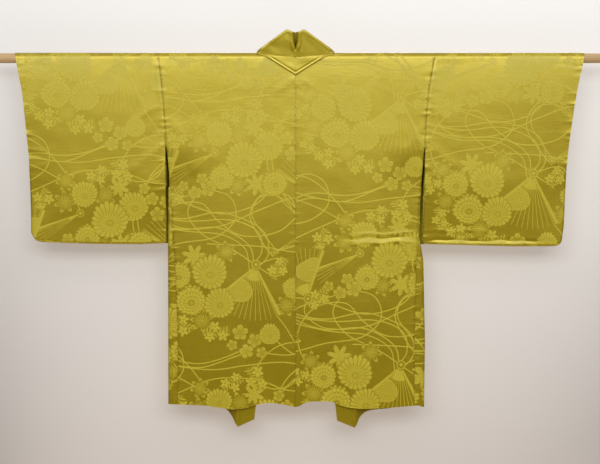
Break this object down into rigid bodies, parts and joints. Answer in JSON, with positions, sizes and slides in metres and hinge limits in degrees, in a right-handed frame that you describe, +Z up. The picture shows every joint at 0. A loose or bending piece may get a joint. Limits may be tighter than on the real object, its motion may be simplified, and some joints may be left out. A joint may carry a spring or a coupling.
{
  "type": "haori jacket on a hanging rod",
  "caption": "Hip-length silk haori with wide square sleeves, side gussets and a turned-back collar, hung open on a straight round wooden rod.",
  "frame": {"origin": "on the rod's axis, at the centre of the garment's back", "axes": "+X along the rod toward the wearer's right sleeve, +Y from the garment's back to its front, +Z up"},
  "size_m": [1.4, 0.0672, 0.8925],
  "materials": {
    "silk_body": "glossy satin damask",
    "silk_sleeve": "glossy satin damask",
    "silk_gusset": "glossy satin damask",
    "silk_collar": "glossy satin damask",
    "pale_wood": "smooth, unvarnished"
  },
  "bodies": {
    "root": {"body_left": "silk_body", "body_right": "silk_body", "sleeve_left": "silk_sleeve", "sleeve_right": "silk_sleeve", "gusset_left": "silk_gusset", "gusset_right": "silk_gusset", "collar_left": "silk_collar", "collar_right": "silk_collar", "rod": "pale_wood"}
  },
  "joints": []
}
